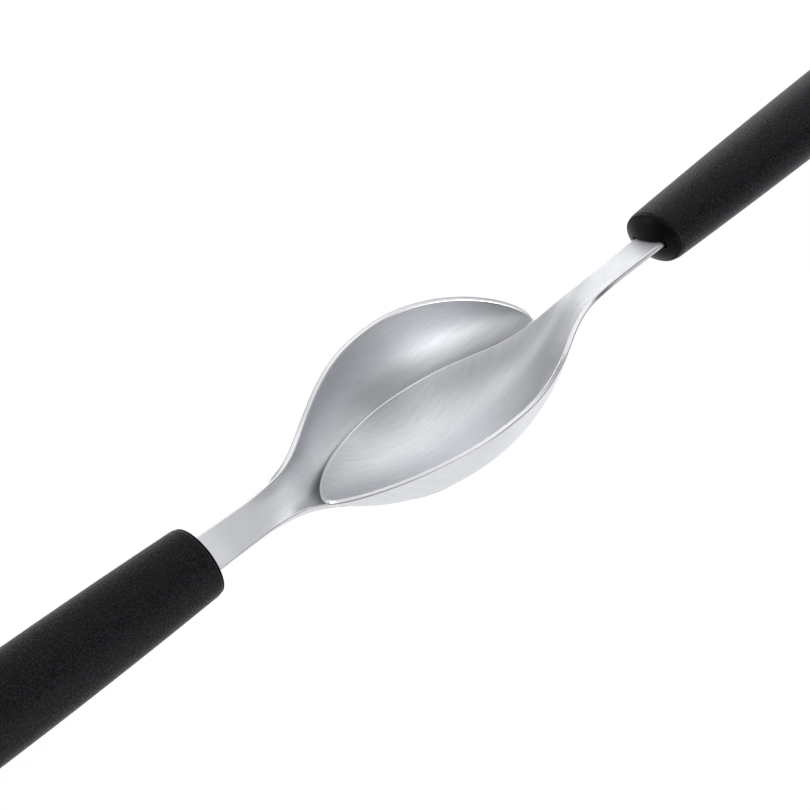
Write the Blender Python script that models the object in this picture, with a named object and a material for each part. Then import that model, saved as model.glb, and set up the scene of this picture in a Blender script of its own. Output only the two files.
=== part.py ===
"""A nested pair of quenelle spoons, posed as they shape a quenelle between them.

Each spoon has three pieces: a pressed steel blade (bowl, neck and tang in one sheet), a smooth
moulded core that grips the tang, and a grained grip moulded over the core. The lower spoon leans
towards -Y. The upper spoon is its twin turned half a turn about +Z, and it lies in the lower bowl.

Spoon frame: the origin is the tip of the rim, +X runs to the handle and +Z points out of the bowl.
Handle frame: the origin is on the handle's axis at its front face, and +X runs to the butt.
Lengths are in metres and angles in radians.
"""
import math

import bmesh
import bpy
from mathutils import Vector
from mathutils.bvhtree import BVHTree

MM = 0.001

# Pressed sheet
SHEET_THICKNESS = 1.31 * MM

# Rim outline, seen square on, measured on the upper edge of the sheet
BOWL_HALF_WIDTH = 21.25 * MM
TIP_TO_WIDEST = 38.54 * MM
NOSE_FULLNESS = 1.817
NOSE_BLUNTNESS = 1.433
TIP_TO_NECK = 99.34 * MM
STRAP_HALF_WIDTH = 4.66 * MM
SHOULDER_START = 2.64
SHOULDER_DRAW = 3.90
STRAP_FLARE = 0.0152

# Rim line, seen from the side
RIM_CROWN = 0.17 * MM
TIP_TO_RISE = 69.6 * MM
RISE_LENGTH = 24.0 * MM
NECK_RISE = 4.32 * MM

# Hollow of the bowl
BOWL_DEPTH = 12.28 * MM
TIP_TO_DEEPEST = 42.3 * MM
TIP_TO_HOLLOW_END = 102.9 * MM
NOSE_DEPTH_POWER = 2.43
NOSE_DEPTH_ROUNDING = 1.02
HEEL_DEPTH_POWER = 1.631
HEEL_DEPTH_ROUNDING = 1.946
SECTION_POWER = 3.22

# Tang inside the handle
TANG_LENGTH = 70.0 * MM
KEY_HOLE_RADIUS = 2.0 * MM
FIRST_KEY_FROM_FRONT = 24.0 * MM
KEY_SPACING = 26.0 * MM

# Handle
TIP_TO_HANDLE = 120.46 * MM
HANDLE_LENGTH = 118.0 * MM
HANDLE_PITCH = 0.0302
TANG_BELOW_AXIS = 0.25 * MM
FRONT_HALF_WIDTH = 9.51 * MM
FRONT_HALF_HEIGHT = 7.03 * MM
WIDEST_HALF_WIDTH = 11.50 * MM
WIDEST_HALF_HEIGHT = 8.33 * MM
FRONT_TO_WIDEST = 100.0 * MM
FACE_DOME = 2.39 * MM
FACE_EDGE_RADIUS = 0.35 * MM
FACE_RIM_LENGTH = 0.5 * MM
GROOVE_WIDTH = 0.35 * MM
GRIP_EDGE_RADIUS = 0.25 * MM
GRIP_WALL = 1.9 * MM
BUTT_ROUNDING = 13.0 * MM
BUTT_FULLNESS = 2.3
GRIP_END_WALL = 9.0 * MM

# Clearances
MOULDING_GAP = 0.3 * MM
SLOT_SIDE_CLEARANCE = 0.9 * MM
NESTING_GAP = 0.38 * MM

# How the pair lies together
SPOON_LEAN = math.radians(28.36)
TIP_OVERLAP = 83.15 * MM
SIDE_OFFSET = 9.79 * MM

# Facets
NOSE_STATIONS = 12
SHOULDER_STATIONS = 20
STRAP_STATIONS = 3
SECTION_STEPS = 16
ELLIPSE_STEPS = 32
GRIP_STATIONS = 7
BUTT_STATIONS = 6
DOME_STATIONS = 3
EDGE_STEPS = 2


def clear_scene():
    """Remove every object that the file already holds."""
    for obj in list(bpy.data.objects):
        bpy.data.objects.remove(obj, do_unlink=True)


def make_material(name, colour, roughness, metallic):
    """Make a Principled material."""
    material = bpy.data.materials.new(name)
    material.use_nodes = True
    shader = material.node_tree.nodes["Principled BSDF"]
    shader.inputs["Base Color"].default_value = (*colour, 1.0)
    shader.inputs["Roughness"].default_value = roughness
    shader.inputs["Metallic"].default_value = metallic
    return material


def ease(start, length, x):
    """Rise smoothly from 0 at start to 1 at start plus length."""
    t = min(max((x - start) / length, 0.0), 1.0)
    return t * t * (3.0 - 2.0 * t)


def rim_half_width(x):
    """Half width of the rim's upper edge at a distance x from the tip."""
    if x < TIP_TO_WIDEST:
        back = 1.0 - x / TIP_TO_WIDEST
        return BOWL_HALF_WIDTH * max(1.0 - back ** NOSE_FULLNESS, 0.0) ** (1.0 / NOSE_BLUNTNESS)
    along = min((x - TIP_TO_WIDEST) / (TIP_TO_NECK - TIP_TO_WIDEST), 1.0)
    drawn_in = (1.0 - along ** SHOULDER_START) ** SHOULDER_DRAW
    strap = STRAP_HALF_WIDTH + STRAP_FLARE * max(min(x, TIP_TO_HANDLE) - TIP_TO_NECK, 0.0)
    return strap + (BOWL_HALF_WIDTH - STRAP_HALF_WIDTH) * drawn_in


def rim_height(x):
    """Height of the rim's upper edge: a slight crown, the neck's rise, then the straight tang."""
    crown = RIM_CROWN * math.sin(math.pi * min(x / TIP_TO_RISE, 1.0))
    straight = math.tan(HANDLE_PITCH) * max(x - TIP_TO_RISE - RISE_LENGTH, 0.0)
    return crown + NECK_RISE * ease(TIP_TO_RISE, RISE_LENGTH, x) + straight


def hollow_depth(x):
    """Depth of the hollow below the rim, along the middle of the bowl."""
    if x < TIP_TO_DEEPEST:
        back = 1.0 - x / TIP_TO_DEEPEST
        return BOWL_DEPTH * (1.0 - back ** NOSE_DEPTH_POWER) ** NOSE_DEPTH_ROUNDING
    along = min((x - TIP_TO_DEEPEST) / (TIP_TO_HOLLOW_END - TIP_TO_DEEPEST), 1.0)
    return BOWL_DEPTH * (1.0 - along ** HEEL_DEPTH_POWER) ** HEEL_DEPTH_ROUNDING


def sheet_point(x, across):
    """Point of the upper sheet surface, where across runs from -1 to 1 between the rims."""
    height = rim_height(x) - hollow_depth(x) * (1.0 - abs(across) ** SECTION_POWER)
    return Vector((x, rim_half_width(x) * across, height))


def blade_stations():
    """Distances from the tip at which the blade is sectioned, close together at the nose."""
    quarter = 0.5 * math.pi
    nose = [TIP_TO_WIDEST * (1.0 - math.cos(quarter * i / NOSE_STATIONS)) for i in range(1, NOSE_STATIONS)]
    shoulder_step = (TIP_TO_HOLLOW_END - TIP_TO_WIDEST) / SHOULDER_STATIONS
    shoulder = [TIP_TO_WIDEST + shoulder_step * i for i in range(SHOULDER_STATIONS + 1)]
    strap_step = (TIP_TO_HANDLE - TIP_TO_HOLLOW_END) / STRAP_STATIONS
    strap = [TIP_TO_HOLLOW_END + strap_step * i for i in range(1, STRAP_STATIONS + 1)]
    tang_end = TIP_TO_HANDLE + TANG_LENGTH * math.cos(HANDLE_PITCH)
    return nose + shoulder + strap + [tang_end]


def finish_mesh(bm, name):
    """Write a bmesh to a smooth-shaded mesh."""
    mesh = bpy.data.meshes.new(name)
    bm.to_mesh(mesh)
    bm.free()
    mesh.shade_smooth()
    mesh.set_sharp_from_angle(angle=math.radians(35.0))
    return mesh


def blade_sheet():
    """Upper surface of the blade as one sheet, from the tip of the bowl to the end of the tang."""
    bm = bmesh.new()
    half = SECTION_STEPS // 2
    fractions = [math.sin(0.5 * math.pi * j / half) for j in range(-half, half + 1)]
    rows = []
    for x in blade_stations():
        rows.append([bm.verts.new(sheet_point(x, across)) for across in fractions])
    tip = bm.verts.new(sheet_point(0.0, 0.0))
    for right, left in zip(rows[0], rows[0][1:]):
        bm.faces.new((tip, right, left))
    for near, far in zip(rows, rows[1:]):
        for j in range(SECTION_STEPS):
            bm.faces.new((near[j], far[j], far[j + 1], near[j + 1]))
    bmesh.ops.triangulate(bm, faces=bm.faces[:], quad_method="SHORT_EDGE")
    return finish_mesh(bm, "blade_sheet")


def handle_origin():
    """Where the handle's axis meets its front face, in the spoon frame."""
    tang_middle = rim_height(TIP_TO_HANDLE) - 0.5 * SHEET_THICKNESS
    up = Vector((-math.sin(HANDLE_PITCH), 0.0, math.cos(HANDLE_PITCH)))
    return Vector((TIP_TO_HANDLE, 0.0, tang_middle)) + TANG_BELOW_AXIS * up


def swell(front, widest, s):
    """Size of the handle at a distance s behind its front face, swelling as a parabola."""
    short_of_widest = 1.0 - s / FRONT_TO_WIDEST
    return widest - (widest - front) * short_of_widest * short_of_widest


def ellipse_ring(s, shape_at, inset=0.0, scale=1.0):
    """Points round the handle at s, with the outline that it has at shape_at."""
    half_width = (swell(FRONT_HALF_WIDTH, WIDEST_HALF_WIDTH, shape_at) - inset) * scale
    half_height = (swell(FRONT_HALF_HEIGHT, WIDEST_HALF_HEIGHT, shape_at) - inset) * scale
    ring = []
    for i in range(ELLIPSE_STEPS):
        angle = 2.0 * math.pi * i / ELLIPSE_STEPS
        ring.append(Vector((s, half_width * math.cos(angle), half_height * math.sin(angle))))
    return ring


def rounded_edge(s_start, inset, radius, direction):
    """Rings of a quarter-round edge, which starts on the face and ends on the side."""
    rings = []
    for i in range(EDGE_STEPS + 1):
        angle = 0.5 * math.pi * i / EDGE_STEPS
        s = s_start + direction * radius * (1.0 - math.cos(angle))
        rings.append(ellipse_ring(s, s, inset + radius * (1.0 - math.sin(angle))))
    return rings


def loft(name, start, rings, end):
    """Closed body through rings of points, with a point at each end."""
    bm = bmesh.new()
    first = bm.verts.new(start)
    last = bm.verts.new(end)
    loops = [[bm.verts.new(point) for point in ring] for ring in rings]
    count = ELLIPSE_STEPS
    for i in range(count):
        bm.faces.new((first, loops[0][(i + 1) % count], loops[0][i]))
        bm.faces.new((last, loops[-1][i], loops[-1][(i + 1) % count]))
    for near, far in zip(loops, loops[1:]):
        for i in range(count):
            following = (i + 1) % count
            bm.faces.new((near[i], near[following], far[following], far[i]))
    bmesh.ops.recalc_face_normals(bm, faces=bm.faces[:])
    return finish_mesh(bm, name)


def core_mesh():
    """Core with its domed face, the rim round it and the stem inside the grip."""
    rings = []
    face_start = -0.5 * FACE_EDGE_RADIUS
    for i in range(1, DOME_STATIONS + 1):
        scale = i / (DOME_STATIONS + 1)
        dome_height = FACE_DOME * (1.0 - scale * scale)
        rings.append(ellipse_ring(face_start - dome_height, 0.0, FACE_EDGE_RADIUS, scale))
    rings += rounded_edge(face_start, 0.0, FACE_EDGE_RADIUS, 1.0)
    rim_end = face_start + FACE_EDGE_RADIUS + FACE_RIM_LENGTH
    stem_end = core_end()
    rings.append(ellipse_ring(rim_end, rim_end))
    rings.append(ellipse_ring(rim_end, rim_end, GRIP_WALL + MOULDING_GAP))
    for i in range(1, GRIP_STATIONS):
        s = rim_end + (stem_end - rim_end) * i / (GRIP_STATIONS - 1)
        rings.append(ellipse_ring(s, s, GRIP_WALL + MOULDING_GAP))
    start = Vector((face_start - FACE_DOME, 0.0, 0.0))
    return loft("core", start, rings, Vector((stem_end, 0.0, 0.0)))


def core_end():
    """How far behind the front face the core's stem reaches."""
    return HANDLE_LENGTH - GRIP_END_WALL - MOULDING_GAP


def grip_mesh():
    """Grip as one sleeve with a rounded, closed butt, open at the front for the core."""
    front = 0.5 * FACE_EDGE_RADIUS + FACE_RIM_LENGTH + GROOVE_WIDTH
    cavity_end = HANDLE_LENGTH - GRIP_END_WALL
    inner = []
    for i in range(GRIP_STATIONS):
        s = cavity_end + (front - cavity_end) * i / (GRIP_STATIONS - 1)
        inner.append(ellipse_ring(s, s, GRIP_WALL))
    outer = rounded_edge(front, 0.0, GRIP_EDGE_RADIUS, 1.0)
    butt_start = HANDLE_LENGTH - BUTT_ROUNDING
    outer_start = front + GRIP_EDGE_RADIUS
    for i in range(1, GRIP_STATIONS + 1):
        s = outer_start + (butt_start - outer_start) * i / GRIP_STATIONS
        outer.append(ellipse_ring(s, s))
    for i in range(1, BUTT_STATIONS):
        along = math.sin(0.5 * math.pi * i / BUTT_STATIONS)
        s = butt_start + BUTT_ROUNDING * along
        scale = (1.0 - along ** BUTT_FULLNESS) ** (1.0 / BUTT_FULLNESS)
        outer.append(ellipse_ring(s, butt_start, 0.0, scale))
    start = Vector((cavity_end, 0.0, 0.0))
    return loft("grip", start, inner + outer, Vector((HANDLE_LENGTH, 0.0, 0.0)))


def box_mesh(name, low, high):
    """Axis-aligned box between two corners."""
    bm = bmesh.new()
    bmesh.ops.create_cube(bm, size=1.0)
    for vert in bm.verts:
        vert.co = Vector([low[k] if vert.co[k] < 0.0 else high[k] for k in range(3)])
    return finish_mesh(bm, name)


def key_mesh(name, radius, half_length):
    """Upright round pins at the tang's two key holes."""
    bm = bmesh.new()
    for i in range(2):
        ends = bmesh.ops.create_cone(
            bm, cap_ends=True, segments=16, radius1=radius, radius2=radius, depth=2.0 * half_length)
        along = FIRST_KEY_FROM_FRONT + KEY_SPACING * i
        bmesh.ops.translate(bm, verts=ends["verts"], vec=(along, 0.0, -TANG_BELOW_AXIS))
    return finish_mesh(bm, name)


def add_object(name, mesh, material, parent):
    """Add an object under its parent."""
    obj = bpy.data.objects.new(name, mesh)
    bpy.context.scene.collection.objects.link(obj)
    obj.parent = parent
    if material is not None:
        mesh.materials.clear()
        mesh.materials.append(material)
    return obj


def add_empty(name, parent=None):
    """Add an empty that carries other objects."""
    empty = bpy.data.objects.new(name, None)
    bpy.context.scene.collection.objects.link(empty)
    empty.parent = parent
    return empty


def add_cutter(name, mesh, parent):
    """Add an object that only cuts others."""
    cutter = add_object(name, mesh, None, parent)
    cutter.hide_render = True
    cutter.display_type = "WIRE"
    return cutter


def cut(obj, cutter):
    """Cut one object out of another with a Boolean modifier."""
    modifier = obj.modifiers.new(cutter.name, "BOOLEAN")
    modifier.operation = "DIFFERENCE"
    modifier.solver = "EXACT"
    modifier.object = cutter


def make_meshes():
    """Make the meshes that both spoons share."""
    slot_half_width = rim_half_width(TIP_TO_HANDLE) + SLOT_SIDE_CLEARANCE
    slot_half_height = 0.5 * SHEET_THICKNESS + MOULDING_GAP
    slot_front = -2.0 * (FACE_DOME + FACE_EDGE_RADIUS)
    slot_low = (slot_front, -slot_half_width, -TANG_BELOW_AXIS - slot_half_height)
    slot_high = (TANG_LENGTH + MOULDING_GAP, slot_half_width, slot_half_height - TANG_BELOW_AXIS)
    reach = 2.0 * slot_half_height
    return {
        "blade": blade_sheet(),
        "core": core_mesh(),
        "grip": grip_mesh(),
        "slot": box_mesh("slot", slot_low, slot_high),
        "key_hole": key_mesh("key_hole", KEY_HOLE_RADIUS, reach),
        "key": key_mesh("key", KEY_HOLE_RADIUS - MOULDING_GAP, reach),
    }


def add_spoon(prefix, meshes, materials, carrier):
    """Build one spoon under its carrier and return its three pieces."""
    spoon = add_empty(prefix + "_spoon", carrier)
    handle = add_empty(prefix + "_spoon_handle", spoon)
    handle.location = handle_origin()
    handle.rotation_euler = (0.0, -HANDLE_PITCH, 0.0)

    key_holes = add_cutter(prefix + "_key_holes", meshes["key_hole"], handle)
    keys = add_cutter(prefix + "_keys", meshes["key"], handle)
    slot = add_cutter(prefix + "_slot", meshes["slot"], handle)
    cut(slot, keys)

    blade = add_object(prefix + "_spoon_blade", meshes["blade"], materials["steel"], spoon)
    thicken = blade.modifiers.new("sheet", "SOLIDIFY")
    thicken.thickness = SHEET_THICKNESS
    thicken.offset = -1.0
    thicken.use_even_offset = True
    thicken.use_quality_normals = True
    cut(blade, key_holes)

    core = add_object(prefix + "_spoon_handle_core", meshes["core"], materials["core"], handle)
    cut(core, slot)
    grip = add_object(prefix + "_spoon_grip", meshes["grip"], materials["grip"], handle)
    return [blade, core, grip]


def world_faces(objects):
    """World-space corners and faces of the finished objects."""
    graph = bpy.context.evaluated_depsgraph_get()
    corners = []
    faces = []
    for obj in objects:
        finished = obj.evaluated_get(graph)
        mesh = finished.to_mesh()
        first = len(corners)
        corners += [obj.matrix_world @ vert.co for vert in mesh.vertices]
        faces += [[first + i for i in face.vertices] for face in mesh.polygons]
        finished.to_mesh_clear()
    return corners, faces


def drop_distance(upper, lower):
    """How far the upper pieces can sink straight down before they touch the lower ones."""
    upper_corners, upper_faces = upper
    lower_corners, lower_faces = lower
    down = Vector((0.0, 0.0, -1.0))
    lower_tree = BVHTree.FromPolygons(lower_corners, lower_faces)
    upper_tree = BVHTree.FromPolygons(upper_corners, upper_faces)
    gaps = [lower_tree.ray_cast(corner, down)[3] for corner in upper_corners]
    gaps += [upper_tree.ray_cast(corner, -down)[3] for corner in lower_corners]
    return min(gap for gap in gaps if gap is not None)


def build():
    """Build the pair and seat it on the ground plane."""
    clear_scene()
    materials = {
        "steel": make_material("satin_steel", (0.66, 0.66, 0.67), 0.3, 1.0),
        "core": make_material("smooth_charcoal", (0.022, 0.022, 0.024), 0.38, 0.0),
        "grip": make_material("grained_charcoal", (0.028, 0.028, 0.031), 0.6, 0.0),
    }
    meshes = make_meshes()
    lower_carrier = add_empty("lower_carrier")
    lift_carrier = add_empty("upper_lift")
    lower = add_spoon("lower", meshes, materials, lower_carrier)
    upper = add_spoon("upper", meshes, materials, lift_carrier)

    lower_pose = lower[0].parent
    lower_pose.rotation_euler = (-SPOON_LEAN, 0.0, math.pi)
    lower_pose.location = (0.5 * TIP_OVERLAP, 0.5 * SIDE_OFFSET, 0.0)
    upper_pose = upper[0].parent
    upper_pose.rotation_euler = (-SPOON_LEAN, 0.0, 0.0)
    upper_pose.location = (-0.5 * TIP_OVERLAP, -0.5 * SIDE_OFFSET, 0.0)

    well_above = 4.0 * (BOWL_DEPTH + BOWL_HALF_WIDTH)
    lift_carrier.location.z = well_above
    bpy.context.view_layer.update()
    lower_solid = world_faces(lower)
    sink = drop_distance(world_faces(upper), lower_solid) - NESTING_GAP
    ground = min(corner.z for corner in lower_solid[0])
    lower_carrier.location.z = -ground
    lift_carrier.location.z = well_above - sink - ground
    bpy.context.view_layer.update()


if __name__ == "__main__":
    build()
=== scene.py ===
"""Finish for a nested pair of quenelle spoons: satin steel blades and grained black handles.

Spoon frame: the origin is the tip of the rim, +X runs to the handle and +Z points out of the bowl.
Handle frame: the origin is on the handle's axis at its front face, and +X runs to the butt.
Every mesh is worked out in the spoon frame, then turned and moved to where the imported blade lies.
Lengths are in metres and angles in radians.
"""
import logging
import math
from dataclasses import dataclass, field, replace
from enum import Enum
from typing import Any, Callable

import bpy
import numpy as np
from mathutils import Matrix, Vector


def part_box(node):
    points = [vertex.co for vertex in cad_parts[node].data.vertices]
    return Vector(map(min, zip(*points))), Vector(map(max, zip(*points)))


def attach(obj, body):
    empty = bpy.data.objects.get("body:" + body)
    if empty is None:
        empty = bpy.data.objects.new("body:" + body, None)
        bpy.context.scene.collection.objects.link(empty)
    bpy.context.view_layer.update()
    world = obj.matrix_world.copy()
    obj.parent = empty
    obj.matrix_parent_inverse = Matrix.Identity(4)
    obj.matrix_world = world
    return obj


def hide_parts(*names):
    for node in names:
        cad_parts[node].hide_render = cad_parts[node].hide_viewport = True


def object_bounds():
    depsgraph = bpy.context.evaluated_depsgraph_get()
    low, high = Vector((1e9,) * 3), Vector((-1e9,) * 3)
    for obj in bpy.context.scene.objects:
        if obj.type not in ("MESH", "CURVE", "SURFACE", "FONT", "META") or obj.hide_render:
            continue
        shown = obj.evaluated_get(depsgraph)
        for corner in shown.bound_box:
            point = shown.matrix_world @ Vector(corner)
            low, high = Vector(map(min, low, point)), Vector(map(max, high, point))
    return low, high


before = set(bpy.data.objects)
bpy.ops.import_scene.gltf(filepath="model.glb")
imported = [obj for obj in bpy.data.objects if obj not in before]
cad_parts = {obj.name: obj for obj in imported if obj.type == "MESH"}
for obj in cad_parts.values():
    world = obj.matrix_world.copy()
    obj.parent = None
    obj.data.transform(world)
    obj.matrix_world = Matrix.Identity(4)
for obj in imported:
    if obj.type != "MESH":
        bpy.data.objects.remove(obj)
packed_low, packed_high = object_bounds()

MM = 0.001
SPOON_LEAN = math.radians(28.36)
EASE_SAMPLES = 25
SMALLEST_WIDTH = 1e-9
SHARP_EDGE = 0.01 * MM
CREASE_ANGLE = math.radians(38.0)
# A Mix node's colour sockets share their names with its others, so numbers pick them.
COLOUR_A = 6
COLOUR_B = 7
COLOUR_RESULT = 2
log = logging.getLogger("quenelle_spoons")

Array = np.ndarray
Profile = Callable[[Array], Array]


class Spoon(Enum):
    """The two spoons of the pair, by the word that starts their names."""

    LOWER = "lower"
    UPPER = "upper"


@dataclass(frozen=True)
class Pose:
    """How a spoon lies: leaned about its length, and turned half round if it faces the other way.

    Attributes:
        lean: Angle by which the bowl's mouth leans over, about the spoon's length.
        turned: Whether the handle points to -X.
        place: Where the tip of the rim lies in the world.
    """

    lean: float
    turned: bool
    place: tuple[float, float, float] = (0.0, 0.0, 0.0)

    def to_world(self, points: Array) -> Array:
        """Turn and move points from the spoon frame to the world.

        Args:
            points: Points in the spoon frame, with their coordinates last.

        Returns:
            The same points in the world.
        """
        cosine = math.cos(self.lean)
        sine = math.sin(self.lean)
        facing = -1.0 if self.turned else 1.0
        turn = np.array([
            [facing, 0.0, 0.0],
            [0.0, facing * cosine, facing * sine],
            [0.0, -sine, cosine],
        ])
        return points @ turn.T + np.array(self.place)


@dataclass(frozen=True)
class Surface:
    """Points and faces of one piece.

    Attributes:
        points: Corner points, one row each.
        faces: Corner numbers of each face.
        flat: For each corner of each face, its distances along and across the sheet.
        extras: Values for each point by the name of their attribute, one column or three.
    """

    points: Array
    faces: list[list[int]]
    flat: Array | None = None
    extras: dict[str, Array] = field(default_factory=dict)


def unit(vectors: Array) -> Array:
    """Scale vectors to a length of 1."""
    return vectors / np.linalg.norm(vectors, axis=-1, keepdims=True)


def eased(profile: Profile, x: Array, reach: float) -> Array:
    """Average a profile over a short stretch, as pressing eases a tight turn.

    The weights fall off as a raised cosine, and the stretch shrinks near the tip so that it
    never reaches past it.

    Args:
        profile: Height or width as a function of the distance from the tip.
        x: Distances from the tip.
        reach: Half length of the stretch.

    Returns:
        The averaged profile at x.
    """
    shares = np.linspace(-1.0, 1.0, EASE_SAMPLES)[1:-1]
    weights = 1.0 + np.cos(math.pi * shares)
    stretch = np.minimum(reach, 0.5 * np.maximum(x, 0.0))[..., None]
    values = profile(x[..., None] + stretch * shares)
    return values @ weights / weights.sum()


def closed_round(grid: Array) -> Array:
    """Repeat the first column of a grid after its last."""
    return np.concatenate([grid, grid[:, :1]], axis=1)


def grid_faces(numbers: Array) -> list[list[int]]:
    """Join a grid of corner numbers into four-sided faces.

    Args:
        numbers: Corner numbers, with rows along the piece and columns round it.

    Returns:
        One face for each cell. The last column isn't joined to the first.
    """
    near = numbers[:-1]
    far = numbers[1:]
    cells = np.stack([near[:, :-1], far[:, :-1], far[:, 1:], near[:, 1:]], axis=-1)
    return cells.reshape(-1, 4).tolist()


def tube_solid(rings: Array, start: Array, end: Array) -> Surface:
    """Close a stack of rings with a point at each end.

    Args:
        rings: Points as rings along the piece, each ring once round, counter-clockwise seen
            from the end of the stack.
        start: Point that closes the first ring.
        end: Point that closes the last ring.

    Returns:
        The closed solid.
    """
    count, around = rings.shape[:2]
    points = np.concatenate([rings.reshape(-1, 3), start[None], end[None]])
    looped = closed_round(np.arange(count * around).reshape(count, around))
    faces = grid_faces(looped[:, ::-1])
    first = count * around
    fan = np.full(around, first)
    faces += np.stack([fan, looped[0, 1:], looped[0, :-1]], axis=-1).tolist()
    faces += np.stack([fan + 1, looped[-1, :-1], looped[-1, 1:]], axis=-1).tolist()
    return Surface(points, faces)


@dataclass(frozen=True)
class BladeForm:
    """The pressed sheet: bowl, raised neck and tang, from the tip of the rim to the tang's end.

    A name that ends in power, rounding, fullness, bluntness, start or draw is an exponent, and
    strap_flare is a slope.
    """

    thickness: float = 1.31 * MM
    bowl_half_width: float = 21.25 * MM
    tip_to_widest: float = 38.54 * MM
    nose_fullness: float = 1.817
    nose_bluntness: float = 1.433
    tip_to_neck: float = 99.34 * MM
    strap_half_width: float = 4.66 * MM
    shoulder_start: float = 2.64
    shoulder_draw: float = 3.90
    strap_flare: float = 0.0152
    rim_crown: float = 0.17 * MM
    tip_to_rise: float = 69.6 * MM
    rise_length: float = 24.0 * MM
    neck_rise: float = 4.32 * MM
    bowl_depth: float = 12.28 * MM
    tip_to_deepest: float = 42.3 * MM
    tip_to_hollow_end: float = 102.9 * MM
    nose_depth_power: float = 2.43
    nose_depth_rounding: float = 1.02
    heel_depth_power: float = 1.631
    heel_depth_rounding: float = 1.946
    section_power: float = 3.22
    tip_to_handle: float = 120.46 * MM
    handle_pitch: float = 0.0302
    tang_length: float = 70.0 * MM
    upper_edge_radius: float = 0.42 * MM
    lower_edge_radius: float = 0.28 * MM
    tip_fan: float = 5.0 * MM
    ease_reach: float = 4.0 * MM

    def outline(self, x: Array) -> Array:
        """Half width of the rim: a superellipse nose that draws in to the strap as a power curve."""
        nose = np.clip(x / self.tip_to_widest, 0.0, 1.0)
        blunt = (1.0 - (1.0 - nose) ** self.nose_fullness) ** (1.0 / self.nose_bluntness)
        along = np.clip((x - self.tip_to_widest) / (self.tip_to_neck - self.tip_to_widest), 0.0, 1.0)
        drawn_in = (1.0 - along ** self.shoulder_start) ** self.shoulder_draw
        flared = np.clip(x, self.tip_to_neck, self.tip_to_handle) - self.tip_to_neck
        strap = self.strap_half_width + self.strap_flare * flared
        shoulder = strap + (self.bowl_half_width - self.strap_half_width) * drawn_in
        return np.where(x < self.tip_to_widest, self.bowl_half_width * blunt, shoulder)

    def rim_line(self, x: Array) -> Array:
        """Height of the rim: half a sine wave, an S-shaped rise at the neck, then a straight slope."""
        crown = self.rim_crown * np.sin(math.pi * np.clip(x / self.tip_to_rise, 0.0, 1.0))
        climb = np.clip((x - self.tip_to_rise) / self.rise_length, 0.0, 1.0)
        rise = self.neck_rise * climb * climb * (3.0 - 2.0 * climb)
        straight = np.maximum(x - self.tip_to_rise - self.rise_length, 0.0)
        return crown + rise + math.tan(self.handle_pitch) * straight

    def middle_depth(self, x: Array) -> Array:
        """Depth of the hollow along the middle: a power curve on each side of the deepest point."""
        back = 1.0 - np.clip(x / self.tip_to_deepest, 0.0, 1.0)
        nose = (1.0 - back ** self.nose_depth_power) ** self.nose_depth_rounding
        heel_length = self.tip_to_hollow_end - self.tip_to_deepest
        along = np.clip((x - self.tip_to_deepest) / heel_length, 0.0, 1.0)
        heel = (1.0 - along ** self.heel_depth_power) ** self.heel_depth_rounding
        return self.bowl_depth * np.where(x < self.tip_to_deepest, nose, heel)

    def upper_surface(self, x: Array, y: Array) -> Array:
        """Points of the upper surface.

        The height is the rim's, less the hollow's depth times 1 - |y / half width|^power.

        Args:
            x: Distances from the tip.
            y: Distances from the middle line.

        Returns:
            The points, with their coordinates last.
        """
        half_width = eased(self.outline, x, self.ease_reach)
        across = np.clip(np.abs(y) / np.maximum(half_width, SMALLEST_WIDTH), 0.0, 1.0)
        hollow = eased(self.middle_depth, x, self.ease_reach) * (1.0 - across ** self.section_power)
        return np.stack([x, y, eased(self.rim_line, x, self.ease_reach) - hollow], axis=-1)


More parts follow.
